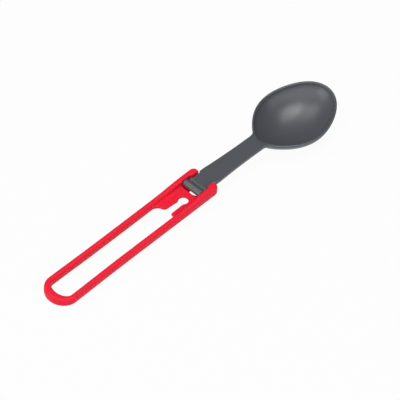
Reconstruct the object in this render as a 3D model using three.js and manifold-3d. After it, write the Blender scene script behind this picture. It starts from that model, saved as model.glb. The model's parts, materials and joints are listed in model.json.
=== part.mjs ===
import * as THREE from "three";
import { mergeVertices } from "three/addons/utils/BufferGeometryUtils.js";
import Module from "manifold-3d";

// Folding camp spoon, in millimetres: a looped nylon handle, a spoon head that folds up and over it,
// and the pin between them. Everything is built about the hinge axis: X runs from the loop to the
// bowl's tip, Y across, with the wide lobe on +Y, and Z is up.

// Hinge
const knuckleDiameter = 3.8;
const knuckleLength = 10.7;
const pinDiameter = 1.5;
const pinPlay = 0.15;
const pinEndPlay = 0.2;
const socketDepth = 2;
const earSideGap = 0.3;
const grooveRadius = 0.5;

// Rails and loop of the handle
const loopReach = 93.5;
const railTop = 1.1;
const railWidth = 2.85;
const railThickness = 4.1;
const railTopRound = 1.2;
const railUnderRound = 0.6;
const waistDraw = 0.2;
const loopSpread = 0.3;
const loopEndWidth = 4.2;
const loopEndLength = 8.1;
const loopHoleEndLength = 4;

// Ears, whose tips reach in behind the knuckle and hold the neck
const earReach = 8.4;
const earRise = 0.9;
const earRiseLength = 17.5;
const earInnerRound = 0.3;
const earTipRound = 2.4;
const earEndRound = 0.8;
const earUnderRound = 2.7;
const earHook = 0.75;
const earHookStart = 2.9;
const earHookLength = 2.4;

// Web plate between the rails, with its keyhole
const plateWall = 1.6;
const plateEdgeRound = 0.3;
const dishDepth = 0.35;
const dishWebHalf = 4.2;
const dishLobeHalf = 4.8;
const webLength = 3.1;
const windowDepth = 2.2;
const windowBow = 0.2;
const windowHalf = 2.1;
const windowCornerRound = 0.5;
const windowCornerWidth = 1.3;
const windowCornerReach = 1.6;
const keyholeDiameter = 4.8;
const keyholeOffset = -1.1;
const keyholeMouthRound = 0.8;
const channelMouthWidth = 3.8;
const channelNeckWidth = 3.2;
const farLobeReach = 22.6;
const farLobeSlant = 5.5;
const farLobeRound = 3.9;
const nearLobeReach = 18.3;
const nearLobeStep = 0.4;
const nearCornerRound = 0.6;
const farCornerRound = 1;

// Stop bridge under the neck and detent tooth under the far half of the knuckle
const bridgeStart = 3.2;
const bridgeLength = 4.2;
const toothWall = 0.7;
const toothStart = 1.4;
const toothReach = 2.5;

// Spoon head
const neckTopRise = 0.85;
const neckEndRise = 0.9;
const neckWall = 2.2;
const neckTopRound = 0.3;
const neckUnderRound = 1;
const neckHookLead = 0.4;
const neckShoulderStart = 8.75;
const neckShoulderLength = 0.5;
const neckTaperStart = 12.6;
const neckTaperEnd = 36;
const neckEndWidth = 9.25;
const neckFlareLength = 2.6;
const bowlStart = 42.6;
const bowlLength = 47.2;
const bowlWidth = 35.9;
const bowlDepth = 9.9;
const bowlWall = 1.2;
const rimDrop = 1.8;
const rimSag = 1.4;
const bowlPitch = THREE.MathUtils.degToRad(-2);

// Clearances
const foldGap = 0.3;
const stopGap = 0.2;
const cutOverrun = 1;

// Shares, and powers of the bowl's curves
const waistPlaceShare = 0.68;
const tipDrawShare = 0.7;
const lobeRootShare = 0.2;
const bowlDeepestShare = 0.46;
const eggShoulderShare = -0.053;
const eggPointShare = -0.056;
const eggCheekShare = 0.023;
const depthPower = 0.66;
const roundLimitShare = 0.45;

// Facets
const roundSteps = 3;
const barrelSides = 32;
const bowlSides = 72;
const bowlRings = 12;
const lipSteps = 4;
const railSteps = 14;
const loopSteps = 20;
const hookSteps = 3;
const neckTaperSteps = 5;
const neckFlareSteps = 5;
const tipSteps = 5;

// What follows from them
const railUnder = railTop - railThickness;
const earInnerHalf = knuckleLength / 2 + earSideGap;
const earOuterHalf = earInnerHalf + railWidth;
const loopHalf = earOuterHalf + loopSpread;
const rimTop = -rimDrop;
const neckWaistHalf = earInnerHalf - earHook - earSideGap;
const neckFall = Math.atan2(neckTopRise + rimDrop - neckEndRise, bowlStart);
const neckTopAt = (x) => neckTopRise - x * Math.tan(neckFall);
const plateTopAt = (x) => -neckTopRise - foldGap - x * Math.tan(neckFall);
const bridgeTop = neckTopAt(bridgeStart + bridgeLength) - neckWall - stopGap;
const bowlTip = bowlStart + bowlLength;

const wasm = await Module();
wasm.setup();

function toSolid(geometry) {
  const bare = geometry.clone();
  bare.deleteAttribute("normal");
  bare.deleteAttribute("uv");
  const merged = mergeVertices(bare);
  return new wasm.Manifold(new wasm.Mesh({
    numProp: 3,
    vertProperties: new Float32Array(merged.attributes.position.array),
    triVerts: new Uint32Array(merged.index.array),
  }));
}

function toGeometry(solid) {
  const mesh = solid.getMesh();
  const geometry = new THREE.BufferGeometry();
  geometry.setAttribute("position", new THREE.BufferAttribute(mesh.vertProperties, 3));
  geometry.setIndex(new THREE.BufferAttribute(mesh.triVerts, 1));
  geometry.computeVertexNormals();
  return geometry;
}

// Closed solid through a row of rings that have equally many points. Each end ring is closed by a fan
// about its middle. Rings run counterclockwise, seen against the direction of the row.
function skin(rings) {
  const count = rings[0].length;
  const points = rings.flat();
  const triangles = [];
  for (let row = 0; row + 1 < rings.length; row += 1) {
    for (let k = 0; k < count; k += 1) {
      const a = row * count + k;
      const b = row * count + (k + 1) % count;
      triangles.push(a, b, b + count, a, b + count, a + count);
    }
  }
  const close = (ring, first, flip) => {
    const middle = ring.reduce((sum, point) => sum.add(point), new THREE.Vector3()).divideScalar(count);
    points.push(middle);
    for (let k = 0; k < count; k += 1) {
      const a = first + k;
      const b = first + (k + 1) % count;
      triangles.push(points.length - 1, flip ? b : a, flip ? a : b);
    }
  };
  close(rings[0], 0, true);
  close(rings.at(-1), (rings.length - 1) * count, false);
  const geometry = new THREE.BufferGeometry().setFromPoints(points);
  geometry.setIndex(triangles);
  return toSolid(geometry);
}

// Corner points of a rectangle from (0, bottom) to (width, top), each corner rounded by its own radius:
// inner lower, outer lower, outer upper, inner upper.
function roundedSection(width, bottom, top, rounds) {
  const limit = roundLimitShare * Math.min(width, top - bottom);
  const section = [];
  rounds.forEach((wanted, corner) => {
    const round = Math.min(wanted, limit);
    const s = corner === 0 || corner === 3 ? round : width - round;
    const z = corner < 2 ? bottom + round : top - round;
    for (let step = 0; step <= roundSteps; step += 1) {
      const angle = Math.PI + (corner + step / roundSteps) * Math.PI / 2;
      section.push([s + round * Math.cos(angle), z + round * Math.sin(angle)]);
    }
  });
  return section;
}

// How far a quarter-round end has drawn in at x, where the round ends at reach.
function endDraw(x, reach, round) {
  const into = Math.min(Math.max(x - (reach - round), 0), round);
  return round - Math.sqrt(round * round - into * into);
}

// Ring of the handle's band between two plan points, one on its inner and one on its outer edge.
function bandRing(inner, outer, innerRoundShare) {
  const width = inner.distanceTo(outer);
  const across = outer.clone().sub(inner).divideScalar(width);
  const under = railUnder + endDraw(inner.x, earReach, earUnderRound);
  const rise = earRise * THREE.MathUtils.smoothstep(inner.x, -earRiseLength, 0);
  const top = railTop + rise - endDraw(inner.x, earReach, earEndRound);
  const innerTop = THREE.MathUtils.lerp(earInnerRound, railTopRound, innerRoundShare);
  const innerUnder = THREE.MathUtils.lerp(earInnerRound, railUnderRound, innerRoundShare);
  return roundedSection(width, under, top, [innerUnder, railUnderRound, railTopRound, innerTop])
    .map(([s, z]) => new THREE.Vector3(inner.x + across.x * s, inner.y + across.y * s, z));
}

// The band: from the -Y ear along its rail, round the loop's end and back to the +Y ear.
function bandSolid() {
  const shoulder = -loopReach + loopEndLength;
  const holeShoulder = -loopReach + loopEndWidth + loopHoleEndLength;
  const outerAt = (x) => {
    const way = Math.min(Math.max(-x / -shoulder, 0), 1);
    const waist = way < waistPlaceShare
      ? way / waistPlaceShare / 2
      : 1 - (1 - way) / (1 - waistPlaceShare) / 2;
    return earOuterHalf + loopSpread * way - waistDraw * Math.sin(Math.PI * waist) ** 2;
  };
  const tipDrawMost = tipDrawShare * railWidth;
  const stations = [];
  for (let step = tipSteps; step > 0; step -= 1) {
    stations.push(earReach - earTipRound + earTipRound * Math.sin(step / tipSteps * Math.PI / 2));
  }
  stations.push(earReach - earTipRound);
  for (let step = hookSteps; step >= 0; step -= 1) {
    stations.push(earHookStart + earHookLength * step / hookSteps);
  }
  stations.push(-windowDepth, -windowDepth - webLength);
  const start = stations.at(-1);
  for (let step = 1; step < railSteps; step += 1) {
    stations.push(THREE.MathUtils.lerp(start, holeShoulder, step / railSteps));
  }
  const rail = stations.map((x) => {
    const tipDraw = endDraw(x, earReach, earTipRound) / earTipRound * Math.min(earTipRound, tipDrawMost);
    const hook = earHook * THREE.MathUtils.smoothstep(x, earHookStart, earHookStart + earHookLength);
    const outer = outerAt(x) - tipDraw;
    const inner = outerAt(x) - railWidth - hook;
    const innerRoundShare = THREE.MathUtils.clamp((-windowDepth - x) / webLength, 0, 1);
    return { inner: new THREE.Vector2(x, inner), outer: new THREE.Vector2(x, outer), innerRoundShare };
  });
  const loop = [];
  for (let step = 0; step <= loopSteps; step += 1) {
    const angle = Math.PI * (step / loopSteps - 0.5);
    const holeHalf = outerAt(holeShoulder) - railWidth;
    loop.push({
      inner: new THREE.Vector2(
        holeShoulder - loopHoleEndLength * Math.cos(angle), holeHalf * Math.sin(angle)),
      outer: new THREE.Vector2(shoulder - loopEndLength * Math.cos(angle), loopHalf * Math.sin(angle)),
      innerRoundShare: 1,
    });
  }
  const mirrored = rail.map(({ inner, outer, innerRoundShare }) => ({
    inner: new THREE.Vector2(inner.x, -inner.y),
    outer: new THREE.Vector2(outer.x, -outer.y),
    innerRoundShare,
  }));
  return skin([...mirrored, ...loop, ...rail.reverse()]
    .map(({ inner, outer, innerRoundShare }) => bandRing(inner, outer, innerRoundShare)));
}

// The web plate lies parallel to the folded neck, a fold gap below it.
function plateSolid() {
  const seat = earInnerHalf + railWidth / 2;
  const railInner = earInnerHalf - waistDraw / 2;
  const keyRadius = keyholeDiameter / 2;
  const keyX = -windowDepth - webLength - keyRadius;
  const neckHalf = channelNeckWidth / 2;
  const neckX = keyX - Math.sqrt(keyRadius ** 2 - neckHalf ** 2);
  const mouthHalf = channelMouthWidth / 2;
  const farMouthX = -farLobeReach + farLobeSlant;
  // The keyhole's mouth is rounded: its circle stops short of the channel by the angle of the round.
  const openAngle = Math.PI - Math.asin(neckHalf / keyRadius) - keyholeMouthRound / keyRadius;
  const outline = new THREE.Shape();
  outline.moveTo(-windowDepth + windowCornerReach, -seat);
  outline.lineTo(-windowDepth + windowCornerReach, -windowHalf - windowCornerWidth);
  outline.quadraticCurveTo(-windowDepth, -windowHalf, -windowDepth, -windowHalf + windowCornerRound);
  outline.quadraticCurveTo(-windowDepth, 0, -windowDepth + windowBow, earInnerHalf);
  outline.lineTo(-windowDepth + windowBow, seat);
  outline.lineTo(-farLobeReach, seat);
  outline.lineTo(-farLobeReach, railInner);
  outline.quadraticCurveTo(
    -farLobeReach + farLobeRound, railInner - farLobeRound * lobeRootShare,
    farMouthX - farCornerRound, keyholeOffset + mouthHalf + farCornerRound);
  outline.quadraticCurveTo(
    farMouthX, keyholeOffset + mouthHalf, farMouthX + farCornerRound, keyholeOffset + mouthHalf);
  outline.lineTo(neckX - keyholeMouthRound, keyholeOffset + neckHalf);
  outline.quadraticCurveTo(
    neckX, keyholeOffset + neckHalf,
    keyX + keyRadius * Math.cos(openAngle), keyholeOffset + keyRadius * Math.sin(openAngle));
  outline.absarc(keyX, keyholeOffset, keyRadius, openAngle, -openAngle, true);
  outline.quadraticCurveTo(
    neckX, keyholeOffset - neckHalf, neckX - keyholeMouthRound, keyholeOffset - neckHalf);
  outline.lineTo(-nearLobeReach + nearLobeStep + nearCornerRound, keyholeOffset - mouthHalf);
  outline.quadraticCurveTo(
    -nearLobeReach + nearLobeStep, keyholeOffset - mouthHalf,
    -nearLobeReach + nearLobeStep, keyholeOffset - mouthHalf - nearCornerRound);
  outline.lineTo(-nearLobeReach, -railInner);
  outline.lineTo(-nearLobeReach, -seat);
  const plate = new THREE.ExtrudeGeometry(outline, {
    depth: plateWall - 2 * plateEdgeRound,
    curveSegments: 16,
    bevelThickness: plateEdgeRound,
    bevelSize: plateEdgeRound,
    bevelOffset: -plateEdgeRound,
    bevelSegments: 2,
  });
  plate.translate(0, 0, plateEdgeRound - plateWall);
  plate.rotateY(neckFall);
  plate.translate(0, 0, plateTopAt(0));
  return toSolid(plate).subtract(dishSolid());
}

// The shallow dish in the plate's top: a flat floor between two slopes that rise to the rails.
function dishSolid() {
  const section = (x, floorHalf) => [
    [-earInnerHalf, 0],
    [-floorHalf, -dishDepth],
    [floorHalf, -dishDepth],
    [earInnerHalf, 0],
    [earInnerHalf, cutOverrun],
    [-earInnerHalf, cutOverrun],
  ].map(([y, z]) => new THREE.Vector3(x, y, plateTopAt(x) + z));
  return skin([section(-farLobeReach - cutOverrun, dishLobeHalf), section(0, dishWebHalf)]);
}

// A side profile in X and Z, extruded across the handle between two places in Y.
function acrossSolid(profile, from, to) {
  const geometry = new THREE.ExtrudeGeometry(profile, { depth: to - from, bevelEnabled: false });
  geometry.rotateX(Math.PI / 2);
  geometry.translate(0, to, 0);
  return toSolid(geometry);
}

// Solid cylinder along Y about a place in X and Z.
function barrelSolid(radius, length, x, z) {
  const geometry = new THREE.CylinderGeometry(radius, radius, length, barrelSides);
  geometry.translate(x, 0, z);
  return toSolid(geometry);
}

function bridgeSolid() {
  const profile = new THREE.Shape();
  profile.moveTo(bridgeStart, railUnder);
  profile.lineTo(bridgeStart + bridgeLength, railUnder);
  profile.lineTo(bridgeStart + bridgeLength, bridgeTop);
  profile.lineTo(bridgeStart, bridgeTop);
  const seat = earInnerHalf + railWidth / 2;
  return acrossSolid(profile, -seat, seat);
}

// The detent tooth reaches from the web under the far half of the knuckle, as far as the far rail.
function toothSolid() {
  const profile = new THREE.Shape();
  const root = -windowDepth - webLength / 2;
  const tip = -windowDepth + toothReach;
  profile.moveTo(root, railUnder);
  profile.lineTo(tip, railUnder);
  profile.lineTo(tip, railUnder + toothWall);
  profile.lineTo(root, railUnder + toothWall + plateWall / 2);
  return acrossSolid(profile, toothStart, earInnerHalf + railWidth / 2);
}

function makeHandle() {
  const clear = barrelSolid(knuckleDiameter / 2 + foldGap, 2 * earInnerHalf, 0, 0);
  const socket = barrelSolid(pinDiameter / 2 + pinPlay, 2 * (earInnerHalf + socketDepth), 0, 0);
  const between = plateSolid().add(bridgeSolid()).add(toothSolid()).subtract(clear);
  return bandSolid().add(between).subtract(socket);
}

// Half width of the bowl's egg outline at an angle from its tip, as a share of its widest: a circle's
// sine, with a second wave that fills the shoulders, a third that points the ends and a fourth that
// flattens the cheeks between them.
function eggWave(angle) {
  return Math.sin(angle) - eggShoulderShare * Math.sin(2 * angle)
    + eggPointShare * Math.sin(3 * angle) + eggCheekShare * Math.sin(4 * angle);
}

const bowlAngles = Array.from({ length: bowlSides }, (_, k) => 2 * Math.PI * k / bowlSides);
const eggPeak = Math.max(...bowlAngles.map(eggWave));

// Plan point of the egg outline, drawn in all round by an inset.
function eggPoint(angle, inset) {
  const halfLength = bowlLength / 2;
  const along = (halfLength - inset) * Math.cos(angle);
  const across = (bowlWidth / 2 - inset) * eggWave(angle) / eggPeak;
  return new THREE.Vector2(bowlStart + halfLength + along, across);
}

// How far the bowl lies under its foremost rim at x: the pitch, and the rim's sag, a parabola along
// the bowl that fades toward its middle.
function bowlDrop(x, share) {
  const way = (x - bowlStart) / bowlLength;
  return (x - bowlStart) * Math.tan(bowlPitch) + rimSag * 4 * way * (1 - way) * share ** 2;
}

// Ring of the bowl: the egg outline drawn in by an inset and scaled about the deepest point.
function bowlRing(inset, share, z) {
  const deepest = bowlStart + bowlLength * bowlDeepestShare;
  return bowlAngles.map((angle) => {
    const point = eggPoint(angle, inset);
    const x = deepest + (point.x - deepest) * share;
    return new THREE.Vector3(x, point.y * share, z - bowlDrop(x, share));
  });
}

// Rings of one side of the bowl's wall, from near its deepest point up to the lip's foot. With the
// share of the plan growing as a sine, the depth falls off as a power of the cosine.
function wallRings(inset, depth, foot) {
  const rings = [];
  for (let step = 0; step <= bowlRings; step += 1) {
    const angle = (2 * step + 1) / (2 * bowlRings + 1) * Math.PI / 2;
    const fall = Math.max(Math.cos(angle), 0) ** (2 * depthPower);
    rings.push(bowlRing(inset, Math.sin(angle), foot - (step < bowlRings ? depth * fall : 0)));
  }
  return rings;
}

const lipFoot = rimTop - bowlWall / 2;
const outsideRings = wallRings(0, bowlDepth + bowlWall, lipFoot);
const insideRings = wallRings(bowlWall, bowlDepth, lipFoot);

function bowlSolid() {
  const lip = [];
  for (let step = 1; step < 2 * lipSteps; step += 1) {
    const angle = Math.PI * step / (2 * lipSteps);
    const inset = bowlWall / 2 * (1 + Math.cos(angle));
    lip.push(bowlRing(inset, 1, lipFoot + bowlWall / 2 * Math.sin(angle)));
  }
  return skin([...outsideRings, ...lip.reverse(), ...insideRings.toReversed()]);
}

// What the bowl holds, carried up past the rim: it trims the neck's end to the bowl's inside.
function bowlHollow() {
  return skin([...insideRings, bowlRing(bowlWall, 1, rimTop + cutOverrun)]);
}

// The neck is drawn in between the ears' tips, comes out in two shoulders past them, tapers along a
// parabola and flares into the bowl's shoulders. The flare is a curve from the neck's side, by the
// corner where that side meets the egg outline, to the outline. Along it the top runs out to the rim.
function neckSolid() {
  const cornerAngle = bowlAngles.find((angle) => angle > Math.PI / 2
    && eggPoint(angle, 0).y < neckEndWidth / 2);
  const flareAngle = bowlAngles.find((angle) => angle > Math.PI / 2
    && eggPoint(angle, 0).x < eggPoint(cornerAngle, 0).x + neckFlareLength);
  const cornerX = eggPoint(cornerAngle, 0).x;
  const flare = new THREE.QuadraticBezierCurve(
    new THREE.Vector2(cornerX - neckFlareLength, neckEndWidth / 2),
    new THREE.Vector2(cornerX, neckEndWidth / 2),
    eggPoint(flareAngle, bowlWall / 2));
  const side = [new THREE.Vector2(0, knuckleLength / 2)];
  for (let step = 0; step <= hookSteps; step += 1) {
    side.push(new THREE.Vector2(
      earHookStart - neckHookLead + earHookLength * step / hookSteps,
      knuckleLength / 2 - earHook * THREE.MathUtils.smoothstep(step / hookSteps, 0, 1)));
  }
  side.push(new THREE.Vector2(neckShoulderStart, neckWaistHalf));
  side.push(new THREE.Vector2(neckShoulderStart + neckShoulderLength, knuckleLength / 2));
  for (let step = 0; step <= neckTaperSteps; step += 1) {
    const left = (1 - step / neckTaperSteps) ** 2;
    side.push(new THREE.Vector2(
      THREE.MathUtils.lerp(neckTaperStart, neckTaperEnd, step / neckTaperSteps),
      THREE.MathUtils.lerp(neckEndWidth / 2, knuckleLength / 2, left)));
  }
  const flareStart = side.length;
  return skin([...side, ...flare.getPoints(neckFlareSteps)].map(({ x, y: half }, step) => {
    const runOut = neckEndRise * (Math.max(step - flareStart, 0) / neckFlareSteps) ** 2;
    const rounds = [neckUnderRound, neckUnderRound, neckTopRound, neckTopRound];
    return roundedSection(2 * half, neckTopAt(x) - neckWall, neckTopAt(x) - runOut, rounds)
      .map(([s, z]) => new THREE.Vector3(x, s - half, z));
  }));
}

function makeHead() {
  const knuckle = barrelSolid(knuckleDiameter / 2, knuckleLength, 0, 0);
  const grooveX = knuckleDiameter / 2 + grooveRadius;
  const groove = barrelSolid(grooveRadius, knuckleLength + 2 * cutOverrun, grooveX, neckTopAt(grooveX));
  const bore = barrelSolid(pinDiameter / 2 + pinPlay, knuckleLength + 2 * cutOverrun, 0, 0);
  return neckSolid().subtract(bowlHollow()).add(bowlSolid()).subtract(groove).add(knuckle).subtract(bore);
}

function makePin() {
  return barrelSolid(pinDiameter / 2, 2 * (earInnerHalf + socketDepth - pinEndPlay), 0, 0);
}

const redNylon = new THREE.MeshStandardMaterial({ color: 0xe62e42, roughness: 0.5, metalness: 0 });
const grayNylon = new THREE.MeshStandardMaterial({ color: 0x595b60, roughness: 0.55, metalness: 0 });
const steel = new THREE.MeshStandardMaterial({ color: 0xb8bbc0, roughness: 0.3, metalness: 1 });

function namedMesh(name, solid, material) {
  const mesh = new THREE.Mesh(toGeometry(solid), material);
  mesh.name = name;
  return mesh;
}

// The origin lies at the middle of the length, below the belly of the bowl.
const bellyUnder = Math.min(...outsideRings.flat().map((point) => point.z));
const spoon = new THREE.Group();
spoon.position.set((loopReach - bowlTip) / 2, 0, -bellyUnder);
spoon.add(namedMesh("handle", makeHandle(), redNylon));
spoon.add(namedMesh("spoon_head", makeHead(), grayNylon));
spoon.add(namedMesh("hinge_pin", makePin(), steel));
spoon.updateMatrixWorld(true);

export default spoon;
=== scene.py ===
import json
import math

import bpy
import numpy as np
from mathutils import Matrix


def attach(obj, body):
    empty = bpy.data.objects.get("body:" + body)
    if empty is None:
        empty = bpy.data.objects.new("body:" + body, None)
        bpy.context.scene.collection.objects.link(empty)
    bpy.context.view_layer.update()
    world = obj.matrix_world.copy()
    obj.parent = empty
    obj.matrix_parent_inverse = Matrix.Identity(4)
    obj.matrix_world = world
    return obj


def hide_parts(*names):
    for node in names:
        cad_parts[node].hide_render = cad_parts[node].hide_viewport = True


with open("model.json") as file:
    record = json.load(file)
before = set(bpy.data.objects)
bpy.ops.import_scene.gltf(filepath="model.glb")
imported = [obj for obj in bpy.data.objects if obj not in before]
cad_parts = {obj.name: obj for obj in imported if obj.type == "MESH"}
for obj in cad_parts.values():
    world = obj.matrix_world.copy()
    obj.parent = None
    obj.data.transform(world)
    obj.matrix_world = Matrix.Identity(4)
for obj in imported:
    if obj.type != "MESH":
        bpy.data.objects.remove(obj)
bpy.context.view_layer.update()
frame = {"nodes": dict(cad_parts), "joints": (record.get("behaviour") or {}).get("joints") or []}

hinge = np.array(frame["joints"][0]["pos_m"])  # the hinge axis, where every shape below has its zero
mm = 0.001
print("frame loaded, hinge axis at", hinge)


def addObject(name, data):
    thing = bpy.data.objects.new(name, data)
    bpy.context.scene.collection.objects.link(thing)
    return thing


def meshObject(name, points, faces):
    # points in millimetres from the hinge axis
    mesh = bpy.data.meshes.new(name)
    mesh.from_pydata((points * mm + hinge).tolist(), [], faces)
    return addObject(name, mesh)


def pointsOf(piece):
    # the same the other way: a piece's points in millimetres from the hinge axis
    co = np.empty(len(piece.data.vertices) * 3)
    piece.data.vertices.foreach_get("co", co)
    return (co.reshape(-1, 3) - hinge) / mm


def skinFaces(rows, count, capped=True):
    # quads between neighbouring rings of count points, and a fan about an added middle point at each end
    i, j = np.meshgrid(np.arange(rows - 1), np.arange(count), indexing="ij")
    a = i * count + j
    b = i * count + (j + 1) % count
    quads = np.stack([a, b, b + count, a + count], -1).reshape(-1, 4)
    if not capped:
        return quads.tolist()
    j = np.arange(count)
    following = (j + 1) % count
    middle = np.full(count, rows * count)
    last = (rows - 1) * count
    start = np.stack([middle, following, j], -1)
    end = np.stack([middle + 1, j + last, following + last], -1)
    return quads.tolist() + start.tolist() + end.tolist()


def skinned(name, rings):
    # closed surface through rings of equally many points, an array of rows by count by 3
    rows, count = rings.shape[:2]
    middles = rings[[0, -1]].mean(1)
    return meshObject(name, np.vstack([rings.reshape(-1, 3), middles]), skinFaces(rows, count))


def roundedSections(width, bottom, top, rounds, steps=6):
    # a rectangle per station, from (0, bottom) to (width, top), each corner a quarter circle:
    # inner lower, outer lower, outer upper, inner upper; a round takes at most 0.45 of the smaller side
    corner = np.repeat(np.arange(4), steps + 1)
    angle = np.pi + (corner + np.tile(np.linspace(0, 1, steps + 1), 4)) * np.pi / 2
    limit = 0.45 * np.minimum(width, top - bottom)
    r = np.minimum(rounds, limit[:, None])[:, corner]
    s = np.where(np.isin(corner, [0, 3]), r, width[:, None] - r) + r * np.cos(angle)
    z = np.where(corner < 2, bottom[:, None] + r, top[:, None] - r) + r * np.sin(angle)
    return s, z


def rod(name, radius, length, x=0.0, z=0.0, edge=0.0, sides=96, rimRows=7):
    # cylinder along Y whose rims are rounded by edge: the ring at angle t of the round has the radius
    # radius - edge + edge sin t and lies at length / 2 - edge + edge cos t
    turn = np.linspace(0, np.pi / 2, rimRows)
    radii = radius - edge + edge * np.sin(turn)
    ends = length / 2 - edge + edge * np.cos(turn)
    r = np.concatenate([radii, radii[::-1]])
    y = np.concatenate([-ends, ends[::-1]])
    angle = np.linspace(0, 2 * np.pi, sides, endpoint=False)
    ring = np.stack([r[:, None] * np.sin(angle) + x, np.broadcast_to(y[:, None], (len(r), sides)),
                     r[:, None] * np.cos(angle) + z], -1)
    return skinned(name, ring)


def block(name, low, high):
    # plain bar between two corners, eased later with the rest of the moulding
    x, y, z = [np.array([a, b]) for a, b in zip(low, high)]
    ring = np.array([[x[0], z[0]], [x[1], z[0]], [x[1], z[1]], [x[0], z[1]]])
    rings = np.stack([np.insert(ring, 1, value, axis=1) for value in y[::-1]])
    return skinned(name, rings)


def applyModifiers(piece):
    # the piece's mesh becomes what its modifiers make of it
    depsgraph = bpy.context.evaluated_depsgraph_get()
    mesh = bpy.data.meshes.new_from_object(piece.evaluated_get(depsgraph), depsgraph=depsgraph)
    piece.modifiers.clear()
    old = piece.data
    piece.data = mesh
    mesh.name = piece.name
    bpy.data.meshes.remove(old)


def removePieces(*pieces):
    for piece in pieces:
        bpy.data.meshes.remove(piece.data)


def cutWith(piece, *cutters):
    for cutter in cutters:
        cut = piece.modifiers.new("cut", "BOOLEAN")
        cut.operation = "DIFFERENCE"
        cut.solver = "EXACT"
        cut.object = cutter
    applyModifiers(piece)


def mouldedTogether(name, parts, voxel, smoothing):
    # overlapping closed bodies made one skin of voxels; it is fitted back on the bodies' exact forms,
    # and then its inner and outer corners are eased as a mould's are
    points, faces, first = [], [], 0
    for part in parts:
        points.append(pointsOf(part))
        faces += [[v + first for v in face.vertices] for face in part.data.polygons]
        first += len(part.data.vertices)
    removePieces(*parts)
    points = np.vstack(points)
    piece = meshObject(name, points, faces)
    form = meshObject(name + "_form", points, faces)
    skin = piece.modifiers.new("skin", "REMESH")
    skin.mode = "VOXEL"
    skin.voxel_size = voxel * mm
    skin.adaptivity = 0
    fit = piece.modifiers.new("fit", "SHRINKWRAP")
    fit.target = form
    ease = piece.modifiers.new("ease", "SMOOTH")
    ease.factor = 0.5
    ease.iterations = smoothing
    applyModifiers(piece)
    removePieces(form)
    piece.data.shade_smooth()
    print(name, len(piece.data.polygons), "faces")
    return piece


def reshape(piece, change):
    # moves a finished piece's points by a function of points in millimetres from the hinge axis
    points = change(pointsOf(piece))
    piece.data.vertices.foreach_set("co", (points * mm + hinge).ravel())
    piece.data.update()


def smoothstep(x, low, high):
    # 0 up to low, 1 from high on, and 3 t squared less 2 t cubed between them
    t = np.clip((x - low) / (high - low), 0, 1)
    return t * t * (3 - 2 * t)


def endDraw(x, reach, r):
    # how far a quarter-round end has drawn in at x
    into = np.clip(x - (reach - r), 0, r)
    return r - np.sqrt(r * r - into * into)


def bezier(start, control, end, steps=10):
    # the curve from start to end that leaves and arrives in the direction of the control point
    t = np.linspace(0, 1, steps)[:, None]
    return (1 - t) ** 2 * np.array(start) + 2 * t * (1 - t) * np.array(control) + t * t * np.array(end)


# sizes are in millimetres and places are from the hinge axis, with the handle toward -X and the bowl
# toward +X; rows and steps are numbers of points

knuckle = dict(
    diameter=3.8, length=10.7, rimRound=0.25, pinDiameter=1.5, pinPlay=0.15, clear=0.3,
    skinReach=0.1, skinFade=0.05, rimKeep=0.3, rimFade=0.2,  # where trueBarrel works
)
knuckle["radius"] = knuckle["diameter"] / 2
knuckle["boreRadius"] = knuckle["pinDiameter"] / 2 + knuckle["pinPlay"]

handle = dict(
    loopReach=93.5, railTop=1.1, railWidth=2.85, railThickness=4.1, topRound=1.3, underRound=0.6,
    waistDraw=0.2, waistPlace=0.68, loopSpread=0.3,
    loopEndWidth=4.2, loopEndLength=8.1, holeEndLength=4.0,
    earReach=8.4, earRise=0.9, earRiseLength=17.5, earSideGap=0.3, earInnerRound=0.3,
    tipRound=2.4, tipDraw=2.0, endRound=0.8, endUnderRound=2.7,
    hook=0.75, hookStart=2.9, hookLength=2.4, socketDepth=2.0,
    earBack=6.0, tipRows=17, earRows=60, railRows=120, loopRows=97,
)
handle["under"] = handle["railTop"] - handle["railThickness"]
handle["innerHalf"] = knuckle["length"] / 2 + handle["earSideGap"]
handle["outerHalf"] = handle["innerHalf"] + handle["railWidth"]
handle["railMiddle"] = handle["innerHalf"] + handle["railWidth"] / 2

# the spoon head's neck and bowl; deepest is a share of the bowl's length, the three after it are the
# sizes of eggWave's further waves, and fall is the slope of the neck's top, down toward the bowl
head = dict(
    neckTop=0.85, neckEndRise=0.9, neckWall=2.2, neckTopRound=0.35, neckUnderRound=1.0,
    hookLead=0.4, shoulderStart=8.75, shoulderLength=0.6, taperStart=12.6, taperEnd=36.0,
    neckEndHalf=4.625, flareLength=2.6, grooveRadius=0.5, neckRows=90, flareRows=16,
    bowlStart=42.6, bowlLength=47.2, bowlWidth=35.9, bowlDepth=9.9, bowlWall=1.2,
    rimDrop=1.8, rimSag=1.4, bowlPitch=math.radians(-2),
    deepest=0.46, shoulder=-0.053, point=-0.056, cheek=0.023, depthPower=0.66,
    roundSteps=216, wallRows=48, lipRows=13,
)
head["fall"] = math.atan2(head["neckTop"] + head["rimDrop"] - head["neckEndRise"], head["bowlStart"])
head["lipFoot"] = -head["rimDrop"] - head["bowlWall"] / 2

# the web plate between the rails, foldGap below the neck when the head is folded over it
plate = dict(
    foldGap=0.3, wall=1.6, edgeRound=0.12, edgeRows=5,
    dishDepth=0.35, dishWebHalf=4.2, dishLobeHalf=4.8, dishStart=1.0, dishPast=0.5, dishAbove=0.1,
    webLength=3.1, windowDepth=2.2, windowBow=0.2, windowHalf=2.1,
    windowRound=0.5, windowCorner=(1.6, 1.3), windowSteps=30,
    keyholeDiameter=4.8, keyholeOffset=-1.1, mouthRound=0.8, mouthWidth=3.8, neckWidth=3.2, keyholeSteps=60,
    farReach=22.6, farSlant=5.5, farRound=3.9, farRoundDip=0.78, farCornerRound=1.0,
    nearReach=18.3, nearStep=0.4, nearCornerRound=0.6,
)
plate["top"] = -head["neckTop"] - plate["foldGap"]

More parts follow.
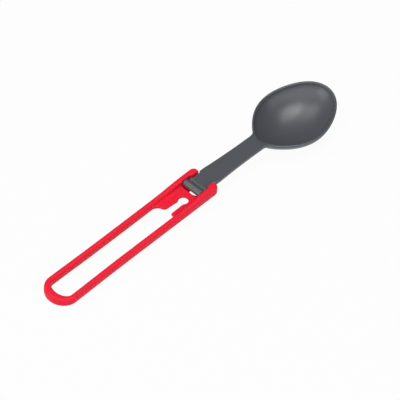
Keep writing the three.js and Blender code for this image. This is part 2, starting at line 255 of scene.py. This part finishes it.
bridge = dict(start=3.2, length=4.2, stopGap=0.2)
tooth = dict(start=1.4, reach=2.5, wall=0.7)


def neckTopAt(x):
    return head["neckTop"] - x * math.tan(head["fall"])


def plateTopAt(x):
    # the same slope, so that the folded neck lies parallel to the plate
    return plate["top"] - x * math.tan(head["fall"])


def outerAt(x):
    # half the handle's width: a spread that grows toward the loop, less a sine squared wave with its
    # crest at the waist
    h = handle
    way = np.clip(x / (h["loopEndLength"] - h["loopReach"]), 0, 1)
    place = h["waistPlace"]
    waist = np.where(way < place, way / place / 2, 1 - (1 - way) / (1 - place) / 2)
    return h["outerHalf"] + h["loopSpread"] * way - h["waistDraw"] * np.sin(np.pi * waist) ** 2


def hairpin(x, half, endStart, endLength, endHalf):
    # in plan, out along the -Y side, round half an ellipse and back along the +Y side
    angle = np.linspace(-np.pi / 2, np.pi / 2, handle["loopRows"])
    end = np.stack([endStart - endLength * np.cos(angle), endHalf * np.sin(angle)], -1)
    return np.concatenate([np.stack([x, -half], -1), end, np.stack([x, half], -1)[::-1]])


def handleBand():
    # a rounded section carried from the -Y ear along its rail, round the loop and back to the +Y ear;
    # the rows lie closer together at the ears
    h = handle
    outerStart = h["loopEndLength"] - h["loopReach"]
    holeStart = h["loopEndWidth"] + h["holeEndLength"] - h["loopReach"]
    tip = h["earReach"] - h["tipRound"] + h["tipRound"] * np.sin(np.linspace(1, 0, h["tipRows"]) * np.pi / 2)
    ear = np.linspace(tip[-1], -h["earBack"], h["earRows"])
    rail = np.linspace(-h["earBack"], holeStart, h["railRows"])
    x = np.concatenate([tip, ear[1:], rail[1:-1]])
    outer = outerAt(x) - endDraw(x, h["earReach"], h["tipRound"]) * h["tipDraw"] / h["tipRound"]
    hook = h["hook"] * smoothstep(x, h["hookStart"], h["hookStart"] + h["hookLength"])
    inner = outerAt(x) - h["railWidth"] - hook
    outerPlan = hairpin(x, outer, outerStart, h["loopEndLength"], h["outerHalf"] + h["loopSpread"])
    innerPlan = hairpin(x, inner, holeStart, h["holeEndLength"], outerAt(holeStart) - h["railWidth"])
    x = innerPlan[:, 0]
    width = np.linalg.norm(outerPlan - innerPlan, axis=1)
    across = (outerPlan - innerPlan) / width[:, None]
    under = h["under"] + endDraw(x, h["earReach"], h["endUnderRound"])
    rise = h["earRise"] * smoothstep(x, -h["earRiseLength"], 0)
    top = h["railTop"] + rise - endDraw(x, h["earReach"], h["endRound"])
    share = np.clip((-plate["windowDepth"] - x) / plate["webLength"], 0, 1)  # 0 at the ears, 1 past the web
    rounds = np.stack([
        h["earInnerRound"] + (h["underRound"] - h["earInnerRound"]) * share,
        np.full_like(x, h["underRound"]),
        np.full_like(x, h["topRound"]),
        h["earInnerRound"] + (h["topRound"] - h["earInnerRound"]) * share], -1)
    s, z = roundedSections(width, under, top, rounds)
    rings = np.concatenate([innerPlan[:, None] + across[:, None] * s[..., None], z[..., None]], -1)
    band = skinned("band", rings)
    socket = rod("socket", knuckle["boreRadius"], 2 * (h["innerHalf"] + h["socketDepth"]))
    cutWith(band, socket)
    removePieces(socket)
    return band


def plateOutline():
    # the web plate in plan, counter-clockwise; its ends lie inside the rails
    p, h = plate, handle
    seat = h["railMiddle"]
    front, half = -p["windowDepth"], p["windowHalf"]
    cornerReach, cornerWidth = p["windowCorner"]
    window = [
        [[front + cornerReach, -seat]],
        bezier([front + cornerReach, -half - cornerWidth], [front, -half],
               [front, -half + p["windowRound"]])[:-1],
        bezier([front, -half + p["windowRound"]], [front, 0],
               [front + p["windowBow"], h["innerHalf"]], p["windowSteps"]),
        [[front + p["windowBow"], seat]]]

    railInner = h["innerHalf"] - h["waistDraw"] / 2
    offset, corner = p["keyholeOffset"], p["farCornerRound"]
    neckHalf, mouthHalf = p["neckWidth"] / 2, p["mouthWidth"] / 2
    farMouth = p["farSlant"] - p["farReach"]
    farLobe = [
        [[-p["farReach"], seat]],
        bezier([-p["farReach"], railInner], [-p["farReach"] + p["farRound"], railInner - p["farRoundDip"]],
               [farMouth - corner, offset + mouthHalf + corner])[:-1],
        bezier([farMouth - corner, offset + mouthHalf + corner], [farMouth, offset + mouthHalf],
               [farMouth + corner, offset + mouthHalf])]

    # the keyhole is a circle that opens into the channel, and the mouth between them is rounded
    keyRadius = p["keyholeDiameter"] / 2
    keyX = -p["windowDepth"] - p["webLength"] - keyRadius
    neckX = keyX - math.sqrt(keyRadius ** 2 - neckHalf ** 2)
    openAngle = math.pi - math.asin(neckHalf / keyRadius) - p["mouthRound"] / keyRadius
    edgeX, edgeY = keyRadius * math.cos(openAngle), keyRadius * math.sin(openAngle)
    arc = np.linspace(openAngle, -openAngle, p["keyholeSteps"])
    keyhole = [
        bezier([neckX - p["mouthRound"], offset + neckHalf], [neckX, offset + neckHalf],
               [keyX + edgeX, offset + edgeY])[:-1],
        np.stack([keyX + keyRadius * np.cos(arc), offset + keyRadius * np.sin(arc)], -1),
        bezier([keyX + edgeX, offset - edgeY], [neckX, offset - neckHalf],
               [neckX - p["mouthRound"], offset - neckHalf])[1:]]

    nearX, corner = p["nearStep"] - p["nearReach"], p["nearCornerRound"]
    nearLobe = [
        bezier([nearX + corner, offset - mouthHalf], [nearX, offset - mouthHalf],
               [nearX, offset - mouthHalf - corner]),
        [[-p["nearReach"], -railInner], [-p["nearReach"], -seat]]]
    return np.concatenate(window + farLobe + keyhole + nearLobe)


def handlePlate():
    # the outline carried up through the wall, drawn in at both faces by a quarter round
    p = plate
    outline = plateOutline()
    step = np.roll(outline, -1, 0) - outline
    step = step / np.linalg.norm(step, axis=1)[:, None]
    along = step + np.roll(step, 1, 0)
    along = along / np.linalg.norm(along, axis=1)[:, None]
    inward = np.stack([-along[:, 1], along[:, 0]], -1)
    turn = np.linspace(0, np.pi / 2, p["edgeRows"])
    inset = p["edgeRound"] * (1 - np.sin(turn))
    rise = p["edgeRound"] * (1 - np.cos(turn))
    plan = outline + inward * np.concatenate([inset, inset[::-1]])[:, None, None]
    level = plateTopAt(plan[..., 0]) + np.concatenate([rise - p["wall"], -rise[::-1]])[:, None]
    rings = np.concatenate([plan, level[..., None]], -1)
    rows, count = rings.shape[:2]
    under, over = list(range(count)), list(range((rows - 1) * count, rows * count))
    # the faces point inward here, and the cut in makeHandle turns them outward
    faces = [face[::-1] for face in skinFaces(rows, count, capped=False)] + [under, over[::-1]]
    return meshObject("plate", rings.reshape(-1, 3), faces)


def dish(points):
    # the plate's top sinks between two creases: full depth inside them, none at the rails
    p = plate
    x, y, z = points.T
    way = np.clip(-x / p["farReach"], 0, 1)
    floorHalf = p["dishWebHalf"] + (p["dishLobeHalf"] - p["dishWebHalf"]) * way
    depth = p["dishDepth"] * np.clip(
        (handle["innerHalf"] - np.abs(y)) / (handle["innerHalf"] - floorHalf), 0, 1)
    top = plateTopAt(x)
    onTop = np.clip((z - top + p["wall"] / 2) / (p["wall"] / 2 - p["edgeRound"]), 0, 1)
    onPlate = (z < top + p["dishAbove"]) & (x < -p["dishStart"]) & (x > -p["farReach"] - p["dishPast"])
    return points - np.outer(np.where(onPlate, onTop * depth, 0), [0, 0, 1])


def makeHandle():
    # the loop with its plate, the stop bridge under the neck and the small tooth behind the barrel
    h, p = handle, plate
    bridgeEnd = bridge["start"] + bridge["length"]
    bridgeTop = neckTopAt(bridgeEnd) - head["neckWall"] - bridge["stopGap"]
    bar = block("bridge", [bridge["start"], -h["railMiddle"], h["under"]],
                [bridgeEnd, h["railMiddle"], bridgeTop])
    back = block("tooth", [-p["windowDepth"] - p["webLength"] / 2, tooth["start"], h["under"]],
                 [-p["windowDepth"] + tooth["reach"], h["railMiddle"], h["under"] + tooth["wall"]])
    web = handlePlate()
    clear = rod("clear", knuckle["radius"] + knuckle["clear"], 2 * h["innerHalf"])
    cutWith(web, clear)
    cutWith(back, clear)
    removePieces(clear)
    piece = mouldedTogether("camp_handle", [handleBand(), web, bar, back], voxel=0.2, smoothing=3)
    reshape(piece, dish)
    return piece


bowlAngles = np.linspace(0, 2 * np.pi, head["roundSteps"], endpoint=False)


def eggWave(angle):
    # a circle's sine, a second wave that fills the shoulders, a third that points the ends and a
    # fourth that flattens the cheeks
    return (np.sin(angle) - head["shoulder"] * np.sin(2 * angle)
            + head["point"] * np.sin(3 * angle) + head["cheek"] * np.sin(4 * angle))


eggPeak = eggWave(bowlAngles).max()


def eggPoints(angle, inset):
    # the egg outline in plan, drawn in all round by an inset: a cosine along and the egg wave across
    half = head["bowlLength"] / 2
    x = head["bowlStart"] + half + (half - inset) * np.cos(angle)
    return x, (head["bowlWidth"] / 2 - inset) * eggWave(angle) / eggPeak


def bowlRings(inset, share, z):
    # the egg outline drawn in by an inset, scaled about the deepest point and dropped by the pitch
    # and by the rim's sag, a parabola along the bowl that fades toward its middle
    inset, share, z = np.broadcast_arrays(np.atleast_1d(inset), share, z)
    x, y = eggPoints(bowlAngles, inset[:, None])
    deepest = head["bowlStart"] + head["bowlLength"] * head["deepest"]
    x = deepest + (x - deepest) * share[:, None]
    way = (x - head["bowlStart"]) / head["bowlLength"]
    drop = (x - head["bowlStart"]) * math.tan(head["bowlPitch"])
    drop = drop + head["rimSag"] * 4 * way * (1 - way) * share[:, None] ** 2
    return np.stack([x, y * share[:, None], z[:, None] - drop], -1)


def wallRings(inset, depth):
    # the share of the plan grows as a sine and the depth falls off as a power of the cosine
    rows = head["wallRows"]
    angle = (2 * np.arange(rows + 1) + 1) / (2 * rows + 1) * np.pi / 2
    fall = np.clip(np.cos(angle), 0, None) ** (2 * head["depthPower"])
    fall[-1] = 0
    return bowlRings(inset, np.sin(angle), head["lipFoot"] - depth * fall)


def makeNeck():
    # in plan: a waist that follows the ears' hooked tips, shoulders past them, a taper along a parabola,
    # and a curve that flares into the egg outline; along that flare the top runs out to the rim
    h = head
    back = bowlAngles[bowlAngles > np.pi / 2]
    x, y = eggPoints(back, 0)
    corner = x[np.argmax(y < h["neckEndHalf"])]
    end = back[np.argmax(x < corner + h["flareLength"])]
    flare = bezier([corner - h["flareLength"], h["neckEndHalf"]], [corner, h["neckEndHalf"]],
                   np.array(eggPoints(end, h["bowlWall"] / 2)), h["flareRows"])
    x = np.linspace(0, flare[0, 0], h["neckRows"])[:-1]
    shoulder = knuckle["length"] / 2
    step = smoothstep(x, h["shoulderStart"], h["shoulderStart"] + h["shoulderLength"])
    hook = smoothstep(x + h["hookLead"], handle["hookStart"], handle["hookStart"] + handle["hookLength"])
    left = (1 - np.clip((x - h["taperStart"]) / (h["taperEnd"] - h["taperStart"]), 0, 1)) ** 2
    half = np.where(x < h["taperStart"], shoulder - handle["hook"] * (hook - step),
                    h["neckEndHalf"] + (shoulder - h["neckEndHalf"]) * left)
    runOut = h["neckEndRise"] * np.concatenate([np.zeros(len(x)), np.linspace(0, 1, h["flareRows"]) ** 2])
    x = np.concatenate([x, flare[:, 0]])
    half = np.concatenate([half, flare[:, 1]])
    under, over = h["neckUnderRound"], h["neckTopRound"]
    rounds = np.tile([under, under, over, over], (len(x), 1))
    s, z = roundedSections(2 * half, neckTopAt(x) - h["neckWall"], neckTopAt(x) - runOut, rounds)
    return skinned("neck", np.stack([np.broadcast_to(x[:, None], s.shape), s - half[:, None], z], -1))


def makeBowl():
    # outer wall from the belly up, over the lip's half circle and down the inner wall; the hollow is the
    # room inside, up to a millimetre above the rim
    wall = head["bowlWall"]
    outside = wallRings(0, head["bowlDepth"] + wall)
    inside = wallRings(wall, head["bowlDepth"])
    turn = np.linspace(0, np.pi, head["lipRows"])[1:-1]
    lip = bowlRings(wall / 2 * (1 + np.cos(turn)), 1, head["lipFoot"] + wall / 2 * np.sin(turn))
    bowl = skinned("bowl", np.concatenate([outside, lip[::-1], inside[::-1]]))
    hollow = skinned("hollow", np.concatenate([inside, bowlRings(wall, 1, -head["rimDrop"] + 1)]))
    return bowl, hollow


def trueBarrel(points):
    # points near the barrel's skin are set on its cylinder, at the radius from the axis, and the share
    # of that fades away from the skin and toward the rims
    k = knuckle
    x, y, z = points.T
    away = np.hypot(x, z)
    share = np.clip((k["skinReach"] - np.abs(away - k["radius"])) / k["skinFade"], 0, 1)
    share = share * np.clip((k["length"] / 2 - k["rimKeep"] - np.abs(y)) / k["rimFade"], 0, 1)
    grow = 1 + share * (k["radius"] / away - 1)
    return np.stack([x * grow, y, z * grow], -1)


def makeHead():
    # bowl, neck and barrel, with the groove between barrel and neck and the bore for the pin
    bowl, hollow = makeBowl()
    neck = makeNeck()
    throughCut = knuckle["length"] + 2  # a millimetre past the barrel at each end
    grooveX = knuckle["radius"] + head["grooveRadius"]
    groove = rod("groove", head["grooveRadius"], throughCut, grooveX, neckTopAt(grooveX))
    cutWith(neck, hollow, groove)
    barrel = rod("barrel", knuckle["radius"], knuckle["length"], edge=knuckle["rimRound"])
    bore = rod("bore", knuckle["boreRadius"], throughCut)
    cutWith(neck, bore)
    cutWith(barrel, bore)
    removePieces(hollow, groove, bore)
    piece = mouldedTogether("camp_spoon_head", [bowl, neck, barrel], voxel=0.26, smoothing=3)
    reshape(piece, trueBarrel)
    return piece


def linearColour(hexCode):
    # sRGB hex to linear red, green, blue, alpha
    srgb = [int(hexCode[i:i + 2], 16) / 255 for i in (0, 2, 4)]
    return [c / 12.92 if c <= 0.04045 else ((c + 0.055) / 1.055) ** 2.4 for c in srgb] + [1.0]


def emptyTree(owner):
    # the node tree of a material or of the world, with nothing in it yet
    owner.use_nodes = True
    owner.node_tree.nodes.clear()
    return owner.node_tree


def addNode(tree, kind, inputs=None, links=None, **settings):
    # inputs are plain values, links are other nodes' outputs, and settings are the node's own
    node = tree.nodes.new(kind)
    for key, value in settings.items():
        setattr(node, key, value)
    for key, value in (inputs or {}).items():
        node.inputs[key].default_value = value
    for key, socket in (links or {}).items():
        tree.links.new(socket, node.inputs[key])
    return node


# pattern sizes and the grain's depth in millimetres; grain and scratches are drawn coarser than the real
# ones, which are too fine to show
nylon = dict(ior=1.53, cloudSize=6.0, cloudDetail=3.0, roughnessSpread=0.04,
             grainSize=0.35, grainDetail=2.0, grainStrength=0.07, grainDepth=0.05)
steel = dict(scratchSize=0.1, scratchStretch=0.05, smooth=0.22, rough=0.4)


def mouldedNylon(name, colour, shade, roughness, gloss):
    # glass-filled nylon, injection moulded in a spark-eroded tool: an even satin with a fine grain,
    # and a faint cloudiness where the fibres lie near the skin
    n = nylon
    material = bpy.data.materials.new(name)
    tree = emptyTree(material)
    place = addNode(tree, "ShaderNodeTexCoord").outputs["Object"]
    cloud = addNode(tree, "ShaderNodeTexNoise",
                    {"Scale": 1 / (n["cloudSize"] * mm), "Detail": n["cloudDetail"]}, {"Vector": place})
    tint = addNode(tree, "ShaderNodeMix", {6: linearColour(colour), 7: linearColour(shade)},
                   {0: cloud.outputs["Fac"]}, data_type="RGBA")
    satin = addNode(tree, "ShaderNodeMapRange",
                    {3: roughness - n["roughnessSpread"], 4: roughness + n["roughnessSpread"]},
                    {0: cloud.outputs["Fac"]})
    grain = addNode(tree, "ShaderNodeTexNoise",
                    {"Scale": 1 / (n["grainSize"] * mm), "Detail": n["grainDetail"]}, {"Vector": place})
    bump = addNode(tree, "ShaderNodeBump", {"Strength": n["grainStrength"], "Distance": n["grainDepth"] * mm},
                   {"Height": grain.outputs["Fac"]})
    shader = addNode(tree, "ShaderNodeBsdfPrincipled", {"IOR": n["ior"], "Specular IOR Level": gloss},
                     {"Base Color": tint.outputs[2], "Roughness": satin.outputs[0],
                      "Normal": bump.outputs[0]})
    addNode(tree, "ShaderNodeOutputMaterial", links={"Surface": shader.outputs[0]})
    return material


def drawnSteel(name, colour):
    # drawn steel wire, cut to length: fine scratches along the pin
    material = bpy.data.materials.new(name)
    tree = emptyTree(material)
    place = addNode(tree, "ShaderNodeTexCoord").outputs["Object"]
    stretch = addNode(tree, "ShaderNodeMapping", {"Scale": (1.0, steel["scratchStretch"], 1.0)},
                      {"Vector": place})
    lines = addNode(tree, "ShaderNodeTexNoise", {"Scale": 1 / (steel["scratchSize"] * mm)},
                    {"Vector": stretch.outputs[0]})
    satin = addNode(tree, "ShaderNodeMapRange", {3: steel["smooth"], 4: steel["rough"]},
                    {0: lines.outputs["Fac"]})
    shader = addNode(tree, "ShaderNodeBsdfPrincipled", {"Base Color": linearColour(colour), "Metallic": 1.0},
                     {"Roughness": satin.outputs[0]})
    addNode(tree, "ShaderNodeOutputMaterial", links={"Surface": shader.outputs[0]})
    return material


redNylon = mouldedNylon("redGlassFilledNylon", "ec2039", "e41c34", roughness=0.45, gloss=0.15)
grayNylon = mouldedNylon("grayGlassFilledNylon", "53565b", "4e5156", roughness=0.35, gloss=0.5)
pinSteel = drawnSteel("drawnSteelPin", "b8bbc0")

handlePiece = makeHandle()
handlePiece.data.materials.append(redNylon)
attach(handlePiece, "handle")
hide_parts("handle")
print("handle done")

headPiece = makeHead()
headPiece.data.materials.append(grayNylon)
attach(headPiece, "head")
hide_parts("spoon_head")
print("spoon head done")

pin = frame["nodes"]["hinge_pin"]
pin.data.materials.clear()
pin.data.materials.append(pinSteel)
print("hinge pin done")


# the photograph's view: angles in degrees, the distance in millimetres, and the pixel where the hinge shows
view = dict(azimuth=46.332, elevation=48.972, roll=0.996, distance=3301.0, pixelsPerMm=2.167,
            hingeAt=(193.473, 188.25), picture=400, sensorWidth=36, clip=(0.1, 20))


def axesMatrix(right, up, back, place):
    # the matrix of an object at a place, with its own axes given
    return Matrix(np.vstack([np.column_stack([right, up, back, place]), [0, 0, 0, 1]]).tolist())


def makeCamera():
    # the camera's right, up and forward from azimuth and elevation, then turned by the roll
    turn, lift, roll = [math.radians(view[k]) for k in ("azimuth", "elevation", "roll")]
    right = np.array([math.cos(turn), -math.sin(turn), 0])
    ahead = np.array([math.sin(turn), math.cos(turn), 0])
    upward = np.array([0, 0, 1.0])
    up = ahead * math.sin(lift) + upward * math.cos(lift)
    forward = ahead * math.cos(lift) - upward * math.sin(lift)
    right, up = (right * math.cos(roll) + up * math.sin(roll),
                 up * math.cos(roll) - right * math.sin(roll))
    middle = view["picture"] / 2
    aside, down = [(middle - c) / view["pixelsPerMm"] for c in view["hingeAt"]]
    place = hinge + (right * aside - up * down - forward * view["distance"]) * mm
    data = bpy.data.cameras.new("camera")
    data.sensor_width = view["sensorWidth"]
    data.lens = view["pixelsPerMm"] * view["distance"] * view["sensorWidth"] / view["picture"]
    data.clip_start, data.clip_end = view["clip"]
    camera = addObject("camera", data)
    camera.matrix_world = axesMatrix(right, up, -forward, place)
    bpy.context.scene.camera = camera


# in metres, apart from the shares of light
table = dict(half=2.0, gap=0.0002, colour=0.7, whiteShare=0.95)
worldLight = 0.02


def makeFloor():
    # a pale table that carries the bowl's belly and the underside of the loop's end: it looks nearly white
    # to the camera and in reflections, keeps the object's shadow, and gives back only its own colour
    loopX = -handle["loopReach"] + handle["underRound"]
    bellyX = head["bowlStart"] + head["bowlLength"] * head["deepest"]
    loopZ = handle["under"] * mm + hinge[2]
    tilt = math.atan2(loopZ, (bellyX - loopX) * mm)
    side = [-table["half"], table["half"]]
    x, y = np.meshgrid(side, side, indexing="ij")
    z = -(x - (bellyX * mm + hinge[0])) * math.tan(tilt) - table["gap"]
    points = np.stack([x, y, z], -1).reshape(-1, 3)
    floor = meshObject("floor", (points - hinge) / mm, [[0, 2, 3, 1]])
    material = bpy.data.materials.new("paleTable")
    tree = emptyTree(material)
    path = addNode(tree, "ShaderNodeLightPath").outputs
    seen = addNode(tree, "ShaderNodeMath", operation="ADD",
                   links={0: path["Is Camera Ray"], 1: path["Is Glossy Ray"]})
    seen = addNode(tree, "ShaderNodeMath", operation="ADD",
                   links={0: seen.outputs[0], 1: path["Is Transmission Ray"]})
    share = addNode(tree, "ShaderNodeMath", {1: table["whiteShare"]}, {0: seen.outputs[0]},
                    operation="MULTIPLY", use_clamp=True)
    matt = addNode(tree, "ShaderNodeBsdfDiffuse", {"Color": [table["colour"]] * 3 + [1]})
    white = addNode(tree, "ShaderNodeEmission", {"Color": (1, 1, 1, 1), "Strength": 1.0})
    both = addNode(tree, "ShaderNodeMixShader",
                   links={0: share.outputs[0], 1: matt.outputs[0], 2: white.outputs[0]})
    addNode(tree, "ShaderNodeOutputMaterial", links={"Surface": both.outputs[0]})
    floor.data.materials.append(material)


def makeWorld():
    # white to the camera, and a faint even light on the object
    world = bpy.data.worlds.new("studio")
    bpy.context.scene.world = world
    tree = emptyTree(world)
    path = addNode(tree, "ShaderNodeLightPath").outputs
    soft = addNode(tree, "ShaderNodeBackground", {"Color": (1, 1, 1, 1), "Strength": worldLight})
    white = addNode(tree, "ShaderNodeBackground", {"Color": (1, 1, 1, 1), "Strength": 1.0})
    both = addNode(tree, "ShaderNodeMixShader",
                   links={0: path["Is Camera Ray"], 1: soft.outputs[0], 2: white.outputs[0]})
    addNode(tree, "ShaderNodeOutputWorld", links={"Surface": both.outputs[0]})


# square softboxes that all face one point; places and sizes in metres, power in watts
lampTarget = np.array([0.02, 0, 0.01])
lamps = dict(
    overheadSoftbox=dict(place=(0.16, -0.04, 1.23), size=0.5, power=6.4),
    farSoftbox=dict(place=(-0.07, 0.57, 1.11), size=0.5, power=2.6),
    frontFill=dict(place=(-0.9, -0.85, 1.0), size=1.6, power=11.0),
    leftFill=dict(place=(-0.95, 0.5, 0.9), size=1.6, power=3.2),
    lowLeftFill=dict(place=(-1.25, 0.55, 0.55), size=1.0, power=7.5),
    nearFill=dict(place=(0.2, -1.25, 0.6), size=1.2, power=6.0),
)


def addLamp(name, place, size, power):
    data = bpy.data.lights.new(name, "AREA")
    data.size = size
    data.energy = power
    back = np.array(place) - lampTarget
    back = back / np.linalg.norm(back)
    side = np.cross([0, 0, 1.0], back)
    side = side / np.linalg.norm(side)
    addObject(name, data).matrix_world = axesMatrix(side, np.cross(back, side), back, place)


makeCamera()
makeFloor()
makeWorld()
for name, lamp in lamps.items():
    addLamp(name, **lamp)
bpy.context.scene.view_settings.view_transform = "Standard"
print("camera, floor and light done")
